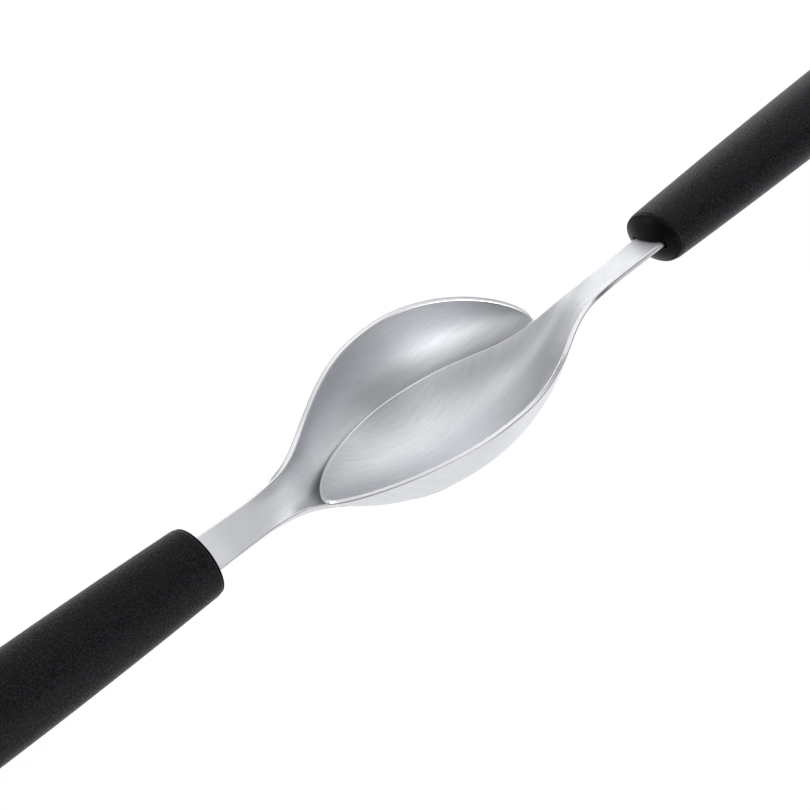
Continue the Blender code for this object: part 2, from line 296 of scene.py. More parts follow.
class Blade:
    """The blade's fine mesh, on rows that fan round the tip and then run straight across."""

    NOSE_ROWS = 96
    SHOULDER_ROWS = 90
    STRAP_ROWS = 18
    TANG_ROWS = 4
    HALF_COLUMNS = 40
    CORNER_STEPS = 6
    RIM_STEP = 0.02
    FIRST_STATION = 1e-4 * MM

    def __init__(self, form: BladeForm) -> None:
        """Keep the form that the mesh follows."""
        self.form = form

    def rim_stations(self) -> Array:
        """Distances from the tip at which rows meet the rim, closest together at the tip."""
        form = self.form
        quarter = np.linspace(0.0, 0.5 * math.pi, self.NOSE_ROWS, endpoint=False)
        nose = form.tip_to_widest * (1.0 - np.cos(quarter))
        nose[0] = self.FIRST_STATION
        hollow_end = form.tip_to_hollow_end
        shoulder = np.linspace(form.tip_to_widest, hollow_end, self.SHOULDER_ROWS, endpoint=False)
        strap = np.linspace(hollow_end, form.tip_to_handle, self.STRAP_ROWS, endpoint=False)
        tang_end = form.tip_to_handle + form.tang_length * math.cos(form.handle_pitch)
        tang = np.linspace(form.tip_to_handle, tang_end, self.TANG_ROWS + 1)
        return np.concatenate([nose, shoulder, strap, tang])

    def fanned(self, stations: Array, across: Array) -> Array:
        """Points of the upper surface on rows that fan round the tip.

        A row leaves the rim at x and bends as a parabola to meet the middle line at
        x + fan * (1 - x / widest)^2.

        Args:
            stations: Distances from the tip at which the rows meet the rim.
            across: Share of the way from the middle line to the rim, from -1 to 1, for each
                row and column.

        Returns:
            The points, by row and column.
        """
        form = self.form
        short = np.clip(1.0 - stations / form.tip_to_widest, 0.0, 1.0)
        middle = (stations + form.tip_fan * short * short)[:, None]
        x = middle + (stations[:, None] - middle) * across * across
        y = eased(form.outline, stations, form.ease_reach)[:, None] * across
        return form.upper_surface(x, y)

    def along_rows(self, points: Array, mirrored: Array) -> Array:
        """Direction from each row to the next, where the row before the tip is row 1 mirrored."""
        padded = np.concatenate([mirrored[1:2], points, 2.0 * points[-1:] - points[-2:-1]])
        return padded[2:] - padded[:-2]

    def normals(self, points: Array) -> Array:
        """Unit normals of the upper surface, from the differences between neighbouring points."""
        along = self.along_rows(points, points[:, ::-1])
        across = np.gradient(points, axis=1)
        found = np.cross(along, across)
        middle = points.shape[1] // 2
        found[0, middle] = found[0, middle - 1] + found[0, middle + 1]
        return unit(found)

    def edge_profile(self) -> tuple[Array, Array]:
        """Section of the rim from the upper surface to the lower: a quarter round at each corner.

        Returns:
            Distances outwards from the sharp edge and distances down through the sheet.
        """
        form = self.form
        angle = np.linspace(0.0, 0.5 * math.pi, self.CORNER_STEPS + 1)
        upper_out = form.upper_edge_radius * (np.sin(angle) - 1.0)
        upper_down = form.upper_edge_radius * (1.0 - np.cos(angle))
        lower_out = form.lower_edge_radius * (np.cos(angle) - 1.0)
        lower_down = form.thickness - form.lower_edge_radius * (1.0 - np.sin(angle))
        return np.concatenate([upper_out, lower_out]), np.concatenate([upper_down, lower_down])

    def rim_pair(self, stations: Array, side: float) -> Array:
        """For each row, the point just inside the rim on one side, and the point on it."""
        across = side * np.array([1.0 - self.RIM_STEP, 1.0])
        return self.fanned(stations, np.tile(across, (len(stations), 1)))

    def rim_strip(self, stations: Array, side: float) -> Array:
        """Points of the rounded rim on one side.

        Args:
            stations: Distances from the tip at which the rows meet the rim.
            side: 1 for the left rim and -1 for the right.

        Returns:
            The points, by row and by step from the upper surface to the lower.
        """
        pair = self.rim_pair(stations, side)
        edge = pair[:, 1]
        along = self.along_rows(edge, edge * np.array([1.0, -1.0, 1.0]))
        normal = unit(side * np.cross(along, edge - pair[:, 0]))
        outward = unit(side * np.cross(normal, along))
        out, down = self.edge_profile()
        return edge[:, None] + outward[:, None] * out[:, None] - normal[:, None] * down[:, None]

    def surface(self) -> Surface:
        """The closed blade: upper surface, rims, lower surface and the tang's square end.

        Returns:
            The blade in the spoon frame.
        """
        form = self.form
        stations = self.rim_stations()
        step = np.linspace(-1.0, 1.0, 2 * self.HALF_COLUMNS + 1)
        share = 0.5 * (step + np.sin(0.5 * math.pi * step))
        pair = self.rim_pair(stations, 1.0)
        spacing = np.linalg.norm(pair[:, 1] - pair[:, 0], axis=-1) / self.RIM_STEP
        inset = 1.0 - max(form.upper_edge_radius, form.lower_edge_radius) / spacing
        upper = self.fanned(stations, inset[:, None] * share)
        lower = upper - form.thickness * self.normals(upper)
        left = self.rim_strip(stations, 1.0)
        right = self.rim_strip(stations, -1.0)
        rings = np.concatenate([upper, left, lower[:, ::-1], right[:, ::-1]], axis=1)

        rows, around = rings.shape[:2]
        numbers = np.arange(rows * around).reshape(rows, around)
        mirror = (upper.shape[1] - 1 - np.arange(around)) % around
        numbers[0] = np.minimum(numbers[0], numbers[0][mirror])
        rings[0] = 0.5 * (rings[0] + rings[0][mirror] * np.array([1.0, -1.0, 1.0]))
        rings[0, :, 1] = 0.0
        looped = closed_round(numbers)
        end = self.tang_end(looped[-1], upper.shape[1], left.shape[1])
        used, renumbered = np.unique(numbers, return_inverse=True)
        lookup = np.zeros(rows * around, int)
        lookup[numbers.ravel()] = renumbered.ravel()
        faces = [lookup[face].tolist() for face in grid_faces(looped) + end]
        points = rings.reshape(-1, 3)[used]
        sheet = np.zeros(upper.shape[1])
        marks = {
            word: np.tile(np.concatenate([sheet, mark, sheet, mark[::-1]]), rows)[used]
            for word, mark in self.rim_marks().items()
        }
        return Surface(points, faces, self.flattened(rings, end), {**marks, "spoon_place": points})

    def rim_marks(self) -> dict[str, Array]:
        """Marks for the steps of the rim's section: 1 on its cut face, upper arris or lower arris."""
        steps = self.CORNER_STEPS
        step = np.arange(2 * steps + 2)
        return {
            "upper_arris": ((step > 0) & (step < steps)).astype(float),
            "cut_face": ((step == steps) | (step == steps + 1)).astype(float),
            # The lower arris's mark carries painted shade: the steel colours it darker.
            "lower_arris_painted_shade": ((step > steps + 1) & (step <= 2 * steps)).astype(float),
        }

    def flattened(self, rings: Array, end: list[list[int]]) -> Array:
        """Distances along the spoon and across the sheet, for the brushing to follow.

        The distance along is x. The distance across is the length of the section's line from
        the middle of the upper surface, round the rim and on.

        Args:
            rings: The blade's points, by row and column.
            end: Faces that close the tang.

        Returns:
            Both distances for each corner of each face, in the order of the faces.
        """
        closed = closed_round(rings)
        steps = np.linalg.norm(np.diff(closed[..., 1:], axis=1), axis=-1)
        across = np.concatenate([np.zeros((len(rings), 1)), np.cumsum(steps, axis=1)], axis=1)
        across -= across[:, self.HALF_COLUMNS:self.HALF_COLUMNS + 1]
        flat = np.stack([closed[..., 0], across], axis=-1).reshape(-1, 2)
        order = np.array(grid_faces(np.arange(len(flat)).reshape(closed.shape[:2]))).ravel()
        at_end = np.tile(flat[-1], (sum(len(face) for face in end), 1))
        return np.concatenate([flat[order], at_end])

    def tang_end(self, ring: Array, columns: int, edge_steps: int) -> list[list[int]]:
        """Close the last ring with a strip between its upper and lower points and two end caps."""
        upper = ring[:columns]
        lower = ring[columns + edge_steps:2 * columns + edge_steps][::-1]
        faces = np.stack([upper[1:], upper[:-1], lower[:-1], lower[1:]], axis=-1).tolist()
        faces.append(ring[columns - 1:columns + edge_steps + 1][::-1].tolist())
        faces.append(ring[2 * columns + edge_steps - 1:][::-1].tolist())
        return faces


@dataclass(frozen=True)
class HandleForm:
    """The handle: an oval core with a domed face and a sleeve over it."""

    length: float = 118.0 * MM
    front_half_width: float = 9.51 * MM
    front_half_height: float = 7.03 * MM
    widest_half_width: float = 11.50 * MM
    widest_half_height: float = 8.33 * MM
    front_to_widest: float = 100.0 * MM
    tang_below_axis: float = 0.25 * MM
    face_dome: float = 2.39 * MM
    face_edge_radius: float = 0.35 * MM
    face_inset: float = 0.25 * MM
    face_rim_length: float = 0.15 * MM
    groove_width: float = 0.15 * MM
    grip_edge_depth: float = 0.35 * MM
    grip_edge_length: float = 1.3 * MM
    grip_wall: float = 1.9 * MM
    grip_end_wall: float = 9.0 * MM
    butt_rounding: float = 13.0 * MM
    butt_fullness: float = 2.3
    moulding_gap: float = 0.3 * MM
    slot_side_clearance: float = 0.9 * MM
    slot_corner_radius: float = 0.4 * MM

    def half_axes(self, s: Array) -> tuple[Array, Array]:
        """Half width and half height at a distance s behind the face, swelling as a parabola."""
        short = (1.0 - s / self.front_to_widest) ** 2
        width = self.widest_half_width - (self.widest_half_width - self.front_half_width) * short
        height = self.widest_half_height - (self.widest_half_height - self.front_half_height) * short
        return width, height


class Handle:
    """The handle's core and grip, worked out as oval rings and placed on the tang."""

    AROUND = 144
    DOME_RINGS = 26
    EDGE_RINGS = 8
    SIDE_RINGS = 70
    BUTT_RINGS = 24
    SLOT_AROUND = 64
    SLOT_REACH = 4.0

    def __init__(self, form: HandleForm, blade: BladeForm) -> None:
        """Keep the handle's form and that of the blade which it holds."""
        self.form = form
        self.blade = blade

    def to_spoon(self, points: Array) -> Array:
        """Move points from the handle frame to the spoon frame."""
        blade = self.blade
        rise = blade.handle_pitch
        forward = np.array([math.cos(rise), 0.0, math.sin(rise)])
        side = np.array([0.0, 1.0, 0.0])
        up = np.array([-math.sin(rise), 0.0, math.cos(rise)])
        tang = float(blade.rim_line(np.array(blade.tip_to_handle))) - 0.5 * blade.thickness
        origin = np.array([blade.tip_to_handle, 0.0, tang]) + self.form.tang_below_axis * up
        return origin + points @ np.stack([forward, side, up])

    def rings(self, s: Array, outline_at: Array, inset: Array, scale: Array) -> Array:
        """Oval rings at s: scale * (half axis - inset) * cosine or sine of the angle round.

        Args:
            s: Distances behind the face.
            outline_at: Distances at which the outline is read.
            inset: How far each ring lies inside the outline.
            scale: Share of the outline's size.

        Returns:
            The rings in the handle frame.
        """
        angle = np.linspace(0.0, 2.0 * math.pi, self.AROUND, endpoint=False)
        width, height = self.form.half_axes(outline_at)
        across = (scale * (width - inset))[:, None] * np.cos(angle)
        up = (scale * (height - inset))[:, None] * np.sin(angle)
        return np.stack([np.broadcast_to(s[:, None], across.shape), across, up], axis=-1)

    def rounded_edge(self, start: float, inset: float, depth: float, length: float) -> Array:
        """Rings of a quarter ellipse that starts on the face and ends on the side.

        Args:
            start: Distance behind the face at which it starts.
            inset: How far inside the outline it ends.
            depth: How far further inside it starts.
            length: Its length along the handle.

        Returns:
            The rings in the handle frame.
        """
        angle = np.linspace(0.0, 0.5 * math.pi, self.EDGE_RINGS + 1)
        s = start + length * (1.0 - np.cos(angle))
        return self.rings(s, s, inset + depth * (1.0 - np.sin(angle)), np.ones_like(s))

    def core(self) -> Surface:
        """The core: paraboloid dome, rounded rim, then a narrower stem inside the grip.

        Returns:
            The core without its slot, in the spoon frame.
        """
        form = self.form
        face = -0.5 * form.face_edge_radius
        rim_end = face + form.face_edge_radius + form.face_rim_length
        stem_end = form.length - form.grip_end_wall - form.moulding_gap
        stem_inset = form.grip_wall + form.moulding_gap
        scale = np.linspace(0.0, 1.0, self.DOME_RINGS + 1)[1:-1]
        dome = face - form.face_dome * (1.0 - scale * scale)
        flat = np.ones_like(dome)
        stem = np.concatenate([[rim_end], np.linspace(rim_end, stem_end, self.EDGE_RINGS)])
        insets = np.full(len(stem), stem_inset)
        insets[0] = form.face_inset
        rings = np.concatenate([
            self.rings(dome, 0.0 * dome, (form.face_inset + form.face_edge_radius) * flat, scale),
            self.rounded_edge(face, form.face_inset, form.face_edge_radius, form.face_edge_radius),
            self.rings(stem, stem, insets, np.ones_like(stem)),
        ])
        start = np.array([face - form.face_dome, 0.0, 0.0])
        end = np.array([stem_end, 0.0, 0.0])
        solid = tube_solid(rings, start, end)
        return Surface(self.to_spoon(solid.points), solid.faces)

    def slot(self) -> Surface:
        """The space for the tang: a bar whose section is a rectangle with rounded corners.

        Returns:
            The bar in the spoon frame, from well in front of the face to just past the tang.
        """
        form = self.form
        blade = self.blade
        half_width = float(blade.outline(np.array(blade.tip_to_handle))) + form.slot_side_clearance
        half_height = 0.5 * blade.thickness + form.moulding_gap
        radius = form.slot_corner_radius
        turn = np.linspace(0.0, 2.0 * math.pi, self.SLOT_AROUND, endpoint=False)
        y = np.sign(np.cos(turn)) * (half_width - radius) + radius * np.cos(turn)
        z = np.sign(np.sin(turn)) * (half_height - radius) + radius * np.sin(turn) - form.tang_below_axis
        s = np.array([-self.SLOT_REACH * form.face_dome, blade.tang_length + form.moulding_gap])
        section = np.stack([np.zeros_like(y), y, z], axis=-1)
        rings = section + s[:, None, None] * np.array([1.0, 0.0, 0.0])
        middle = np.array([0.0, -form.tang_below_axis])
        solid = tube_solid(rings, np.array([s[0], *middle]), np.array([s[1], *middle]))
        return Surface(self.to_spoon(solid.points), solid.faces)

    def grip(self) -> Surface:
        """The grip: a bore closed at the back, a rounded mouth, the swelling side and the butt.

        The butt's rings shrink as (1 - t^fullness)^(1 / fullness) over its length.

        Returns:
            The grip in the spoon frame.
        """
        form = self.form
        front = 0.5 * form.face_edge_radius + form.face_rim_length + form.groove_width
        bore_end = form.length - form.grip_end_wall
        butt_start = form.length - form.butt_rounding
        bore = np.linspace(bore_end, front, self.EDGE_RINGS)
        side = np.linspace(front + form.grip_edge_length, butt_start, self.SIDE_RINGS)[1:]
        turn = np.sin(0.5 * math.pi * np.arange(1, self.BUTT_RINGS) / self.BUTT_RINGS)
        shrink = (1.0 - turn ** form.butt_fullness) ** (1.0 / form.butt_fullness)
        butt = butt_start + form.butt_rounding * turn
        rings = np.concatenate([
            self.rings(bore, bore, form.grip_wall * np.ones_like(bore), np.ones_like(bore)),
            self.rounded_edge(front, 0.0, form.grip_edge_depth, form.grip_edge_length),
            self.rings(side, side, 0.0 * side, np.ones_like(side)),
            self.rings(butt, butt_start * np.ones_like(butt), 0.0 * butt, shrink),
        ])
        solid = tube_solid(rings, np.array([bore_end, 0.0, 0.0]), np.array([form.length, 0.0, 0.0]))
        return Surface(self.to_spoon(solid.points), solid.faces)


def linear(colour: str) -> tuple[float, float, float, float]:
    """Turn an sRGB hex colour into linear red, green, blue and alpha."""
    channels = np.array([int(colour[i:i + 2], 16) for i in (1, 3, 5)]) / 255.0
    straight = np.where(channels <= 0.04045, channels / 12.92, ((channels + 0.055) / 1.055) ** 2.4)
    return (*(float(value) for value in straight), 1.0)


def add_node(
    tree: bpy.types.NodeTree,
    kind: str,
    settings: dict[str, Any] | None = None,
    inputs: dict[str | int, Any] | None = None,
) -> bpy.types.Node:
    """Add a node with its settings and what its inputs hold.

    Args:
        tree: Node tree that gets the node.
        kind: The node's type name.
        settings: Values of the node's own properties.
        inputs: A plain value or another node's output for each input, by name or number.

    Returns:
        The new node.
    """
    node = tree.nodes.new(kind)
    for name, value in (settings or {}).items():
        setattr(node, name, value)
    for name, value in (inputs or {}).items():
        if isinstance(value, bpy.types.NodeSocket):
            tree.links.new(value, node.inputs[name])
        else:
            node.inputs[name].default_value = value
    return node


def empty_material(name: str) -> bpy.types.Material:
    """Make a material whose node tree holds only its output."""
    material = bpy.data.materials.new(name)
    material.use_nodes = True
    tree = material.node_tree
    tree.nodes.clear()
    add_node(tree, "ShaderNodeOutputMaterial")
    return material


def use_surface(material: bpy.types.Material, shader: bpy.types.Node) -> bpy.types.Material:
    """Join a shader to the material's surface output."""
    tree = material.node_tree
    tree.links.new(shader.outputs[0], tree.nodes["Material Output"].inputs["Surface"])
    return material


def per_length(*sizes: float) -> tuple[float, ...]:
    """Turn real sizes of a pattern into the scale that a Mapping node takes."""
    return tuple(1.0 / size for size in sizes)


@dataclass(frozen=True)
class EdgeFinish:
    """Colour and roughness of the part of the sheet's edge that carries a mark."""

    mark: str
    colour: str
    roughness: float


@dataclass(frozen=True)
class SatinSteel:
    """Stainless steel 18/10 sheet, pressed, then belt-brushed along its length.

    The eye gets short soft streaks that run with the spoon, highlights drawn out across them,
    a bright cut edge where use has polished it, and a thin dark line below: painted shade, a
    darker colour on the lower arris.
    """

    colour: str = "#dbdde0"
    dull_colour: str = "#d2d4d8"
    roughness: float = 0.45
    roughness_swing: float = 0.04
    edges: tuple[EdgeFinish, ...] = (
        EdgeFinish("upper_arris", "#e0e0e2", 0.30),
        EdgeFinish("cut_face", "#dadadc", 0.32),
        # Painted shade: the lower arris is coloured darker to draw a thin dark line along the edge.
        EdgeFinish("lower_arris_painted_shade", "#aaaaae", 0.50),
    )
    anisotropy: float = 0.5
    quarter_turn: float = 0.25
    # Real brush lines are 0.05 mm apart. They are drawn 0.3 mm apart, so that they show.
    line_spacing: float = 0.3 * MM
    line_length: float = 6.0 * MM
    line_height: float = 0.001 * MM
    band_spacing: float = 1.2 * MM
    band_length: float = 30.0 * MM
    band_share: float = 0.25
    noise_low: float = 0.36
    noise_high: float = 0.64
    # The belt doesn't reach right up to the handle, so the corner there stays matt.
    corner_roughness: float = 0.62
    corner_start: float = 108.0 * MM
    corner_end: float = 119.0 * MM

    def streaks(self, tree: bpy.types.NodeTree, length: float, spacing: float) -> bpy.types.NodeSocket:
        """Noise drawn out along the spoon.

        Args:
            tree: Node tree of the steel.
            length: Length of a streak.
            spacing: Distance from streak to streak.

        Returns:
            The noise, from 0 to 1.
        """
        place = add_node(tree, "ShaderNodeAttribute", {"attribute_name": "spoon_place"})
        mapping = add_node(tree, "ShaderNodeMapping", {}, {
            "Vector": place.outputs["Vector"],
            "Scale": (*per_length(length, spacing), 0.0),
        })
        noise = add_node(tree, "ShaderNodeTexNoise", {"noise_dimensions": "2D"}, {
            "Vector": mapping.outputs["Vector"],
            "Scale": 1.0,
            "Detail": 2.0,
            "Roughness": 0.6,
        })
        return noise.outputs["Fac"]

    def material(self) -> bpy.types.Material:
        """Make the steel: brushing, the matt corner and the three edge finishes, one over another.

        Returns:
            A metal with lengthwise brush lines in its colour, roughness and bump.
        """
        material = empty_material("satin_stainless_steel")
        tree = material.node_tree
        lines = self.streaks(tree, self.line_length, self.line_spacing)
        bands = self.streaks(tree, self.band_length, self.band_spacing)
        both = add_node(tree, "ShaderNodeMix", {"data_type": "FLOAT"}, {
            "Factor": self.band_share,
            "A": lines,
            "B": bands,
        })
        brushing = add_node(tree, "ShaderNodeMapRange", {}, {
            "Value": both.outputs["Result"],
            "From Min": self.noise_low,
            "From Max": self.noise_high,
        })
        place = add_node(tree, "ShaderNodeAttribute", {"attribute_name": "spoon_place"})
        along_spoon = add_node(tree, "ShaderNodeSeparateXYZ", {}, {"Vector": place.outputs["Vector"]})
        corner = add_node(tree, "ShaderNodeMapRange", {"interpolation_type": "SMOOTHSTEP"}, {
            "Value": along_spoon.outputs["X"],
            "From Min": self.corner_start,
            "From Max": self.corner_end,
        })
        swing = 0.5 * self.roughness_swing
        layers = [
            (brushing.outputs["Result"], self.colour, self.roughness - swing),
            (corner.outputs["Result"], None, self.corner_roughness),
        ]
        for edge in self.edges:
            mark = add_node(tree, "ShaderNodeAttribute", {"attribute_name": edge.mark})
            layers.append((mark.outputs["Fac"], edge.colour, edge.roughness))
        colour = linear(self.dull_colour)
        roughness = self.roughness + swing
        for share, layer_colour, layer_roughness in layers:
            if layer_colour is not None:
                colour = add_node(tree, "ShaderNodeMix", {"data_type": "RGBA"}, {
                    "Factor": share,
                    COLOUR_A: colour,
                    COLOUR_B: linear(layer_colour),
                }).outputs[COLOUR_RESULT]
            roughness = add_node(tree, "ShaderNodeMix", {"data_type": "FLOAT"}, {
                "Factor": share,
                "A": roughness,
                "B": layer_roughness,
            }).outputs["Result"]
        bump = add_node(tree, "ShaderNodeBump", {}, {
            "Height": lines,
            "Distance": self.line_height,
            "Strength": 1.0,
        })
        along = add_node(tree, "ShaderNodeTangent", {"direction_type": "UV_MAP", "uv_map": "brushing"})
        shader = add_node(tree, "ShaderNodeBsdfPrincipled", {}, {
            "Base Color": colour,
            "Metallic": 1.0,
            "Roughness": roughness,
            "Anisotropic": self.anisotropy,
            "Anisotropic Rotation": self.quarter_turn,
            "Tangent": along.outputs["Tangent"],
            "Normal": bump.outputs["Normal"],
        })
        return use_surface(material, shader)


@dataclass(frozen=True)
class MouldedPlastic:
    """Charcoal polypropylene, moulded. The grip's mould is spark-eroded, the face's is polished.

    The eye gets a near-black body with a soft sheen at the edges, broken into fine specks where
    the mould's grain left pits.

    Attributes:
        name: Name of the material.
        colour: Colour between the grains.
        light_colour: Colour of the grains' tops.
        roughness: Roughness between the grains.
        top_roughness: Roughness of the grains' tops, which hands polish.
        specular: Specular level, where 0.5 is the usual one.
        sheen: How much light the surface scatters at grazing angles.
        grain: Size of a grain.
        grain_height: Height of a grain.
        noise_low: Noise at which a grain starts.
        noise_high: Noise at which it reaches its full height.
        index: Index of refraction of polypropylene.
        sheen_roughness: How wide the scattered light spreads.
        sheen_tint: Colour of the scattered light.
    """

    name: str
    colour: str
    light_colour: str
    roughness: float
    top_roughness: float
    specular: float
    sheen: float
    grain: float
    grain_height: float
    noise_low: float = 0.46
    noise_high: float = 0.70
    index: float = 1.49
    sheen_roughness: float = 0.35
    sheen_tint: str = "#e4eaf6"

    def material(self) -> bpy.types.Material:
        """Make the plastic.

        Returns:
            A plastic whose grain shows in its colour, roughness and bump.
        """
        material = empty_material(self.name)
        tree = material.node_tree
        place = add_node(tree, "ShaderNodeTexCoord")
        grain = add_node(tree, "ShaderNodeTexNoise", {}, {
            "Vector": place.outputs["Object"],
            "Scale": 1.0 / self.grain,
            "Detail": 1.0,
            "Roughness": 0.5,
        })
        tops = add_node(tree, "ShaderNodeMapRange", {}, {
            "Value": grain.outputs["Fac"],
            "From Min": self.noise_low,
            "From Max": self.noise_high,
        })
        colour = add_node(tree, "ShaderNodeMix", {"data_type": "RGBA"}, {
            "Factor": tops.outputs["Result"],
            COLOUR_A: linear(self.colour),
            COLOUR_B: linear(self.light_colour),
        })
        roughness = add_node(tree, "ShaderNodeMapRange", {}, {
            "Value": tops.outputs["Result"],
            "To Min": self.roughness,
            "To Max": self.top_roughness,
        })
        bump = add_node(tree, "ShaderNodeBump", {}, {
            "Height": tops.outputs["Result"],
            "Distance": self.grain_height,
            "Strength": 1.0,
        })
        shader = add_node(tree, "ShaderNodeBsdfPrincipled", {}, {
            "Base Color": colour.outputs[COLOUR_RESULT],
            "Roughness": roughness.outputs["Result"],
            "Specular IOR Level": self.specular,
            "IOR": self.index,
            "Sheen Weight": self.sheen,
            "Sheen Roughness": self.sheen_roughness,
            "Sheen Tint": linear(self.sheen_tint),
            "Normal": bump.outputs["Normal"],
        })
        return use_surface(material, shader)


def new_object(name: str, surface: Surface, material: bpy.types.Material | None) -> bpy.types.Object:
    """Put a surface into a smooth-shaded mesh object at the origin.

    Args:
        name: Name of the object and its mesh.
        surface: Points in the world, and faces.
        material: What the object is made of, or None for a cutter.

    Returns:
        The object, linked to the scene.
    """
    mesh = bpy.data.meshes.new(name)
    mesh.from_pydata(surface.points.tolist(), [], surface.faces)
    mesh.validate()
    if surface.flat is not None:
        layer = mesh.uv_layers.new(name="brushing")
        layer.data.foreach_set("uv", surface.flat.astype(np.float32).ravel())
    for word, values in surface.extras.items():
        kind, key = ("FLOAT", "value") if values.ndim == 1 else ("FLOAT_VECTOR", "vector")
        attribute = mesh.attributes.new(word, kind, "POINT")
        attribute.data.foreach_set(key, values.astype(np.float32).ravel())
    mesh.shade_smooth()
    mesh.set_sharp_from_angle(angle=CREASE_ANGLE)
    if material is not None:
        mesh.materials.append(material)
    obj = bpy.data.objects.new(name, mesh)
    bpy.context.scene.collection.objects.link(obj)
    return obj


def cut_away(obj: bpy.types.Object, cutter: bpy.types.Object) -> None:
    """Cut a shape out of an object for good, then remove the cutter."""
    modifier = obj.modifiers.new("cut", "BOOLEAN")
    modifier.operation = "DIFFERENCE"
    modifier.solver = "EXACT"
    modifier.object = cutter
    graph = bpy.context.evaluated_depsgraph_get()
    finished = bpy.data.meshes.new_from_object(obj.evaluated_get(graph))
    old = obj.data
    obj.modifiers.clear()
    obj.data = finished
    bpy.data.meshes.remove(old)
    finished.name = obj.name
    finished.set_sharp_from_angle(angle=CREASE_ANGLE)
    bpy.data.objects.remove(cutter, do_unlink=True)


@dataclass(frozen=True)
class Materials:
    """What each kind of piece is made of."""

    steel: bpy.types.Material
    core: bpy.types.Material
    grip: bpy.types.Material


class SpoonPieces:
    """The three pieces of one spoon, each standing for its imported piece."""

    def __init__(self, spoon: Spoon, lean: float, blade: BladeForm, handle: HandleForm) -> None:
        """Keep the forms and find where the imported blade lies."""
        self.spoon = spoon
        self.blade = Blade(blade).surface()
        self.handle = Handle(handle, blade)
        turned = spoon is Spoon.LOWER
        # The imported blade's edges are sharp, so a sharp one finds the place.
        sharp = replace(blade, upper_edge_radius=SHARP_EDGE, lower_edge_radius=SHARP_EDGE)
        loose = Pose(lean, turned).to_world(Blade(sharp).surface().points)
        low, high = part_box(f"{spoon.value}_spoon_blade")
        middle = 0.5 * (np.array(low) + np.array(high))
        shift = middle - 0.5 * (loose.min(axis=0) + loose.max(axis=0))
        self.pose = Pose(lean, turned, tuple(shift))

    def placed(self, surface: Surface) -> Surface:
        """Move a surface from the spoon frame to the world."""
        return replace(surface, points=self.pose.to_world(surface.points))

    def add(self, word: str, surface: Surface, material: bpy.types.Material, slot: str) -> bpy.types.Object:
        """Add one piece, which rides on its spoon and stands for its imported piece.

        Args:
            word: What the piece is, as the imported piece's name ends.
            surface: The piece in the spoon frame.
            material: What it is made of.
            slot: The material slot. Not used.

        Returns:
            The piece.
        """
        prefix = f"{self.spoon.value}_spoon"
        piece = new_object(f"{prefix}_{word}_fine", self.placed(surface), material)
        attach(piece, prefix)
        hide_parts(f"{prefix}_{word}")
        return piece

    def build(self, materials: Materials) -> list[bpy.types.Object]:
        """Build the blade, the core and the grip.

        Args:
            materials: What each kind of piece is made of.

        Returns:
            The three pieces.
        """
        blade = self.add("blade", self.blade, materials.steel, "steel")
        core = self.add("handle_core", self.handle.core(), materials.core, "core")
        cut_away(core, new_object("slot", self.placed(self.handle.slot()), None))
        grip = self.add("grip", self.handle.grip(), materials.grip, "grip")
        return [blade, core, grip]


@dataclass(frozen=True)
class Viewpoint:
    """Where the photograph was taken from.

    Attributes:
        position: The lens, in the world.
        forward: Direction of view.
        upward: Direction of the picture's upper edge.
        focal_length: Focal length in millimetres.
        picture_width: Width of the picture behind the lens, in millimetres.
        nearest: Nearest distance that the camera sees.
        farthest: Farthest distance that it sees.
    """

    position: tuple[float, float, float] = (-653.99 * MM, -536.31 * MM, 915.45 * MM)
    forward: tuple[float, float, float] = (0.52673, 0.43890, -0.72796)
    upward: tuple[float, float, float] = (0.50437, 0.52797, 0.68327)
    focal_length: float = 223.51
    picture_width: float = 36.0
    nearest: float = 50.0 * MM
    farthest: float = 20000.0 * MM

    def add_camera(self) -> bpy.types.Object:
        """Add the camera and make it the scene's."""
        forward = unit(np.array(self.forward))
        right = unit(np.cross(forward, np.array(self.upward)))
        up = np.cross(right, forward)
        data = bpy.data.cameras.new("photograph_view")
        data.lens = self.focal_length
        data.sensor_width = self.picture_width
        data.clip_start = self.nearest
        data.clip_end = self.farthest
        camera = bpy.data.objects.new("photograph_view", data)
        turn = np.eye(4)
        turn[:3, :3] = np.stack([right, up, -forward], axis=1)
        turn[:3, 3] = self.position
        camera.matrix_world = turn.T.tolist()
        bpy.context.scene.collection.objects.link(camera)
        bpy.context.scene.camera = camera
        return camera


def toward(azimuth: float, elevation: float) -> Array:
    """Direction from the pair for an azimuth from +X and an elevation, both in degrees."""
    turn = math.radians(azimuth)
    rise = math.radians(elevation)
    return np.array([math.cos(rise) * math.cos(turn), math.cos(rise) * math.sin(turn), math.sin(rise)])


def rectangle(width: float, height: float) -> Array:
    """Corners of a level rectangle round the origin, counter-clockwise from above."""
    signs = np.array([[-1.0, -1.0, 0.0], [1.0, -1.0, 0.0], [1.0, 1.0, 0.0], [-1.0, 1.0, 0.0]])
    return 0.5 * signs * np.array([width, height, 0.0])


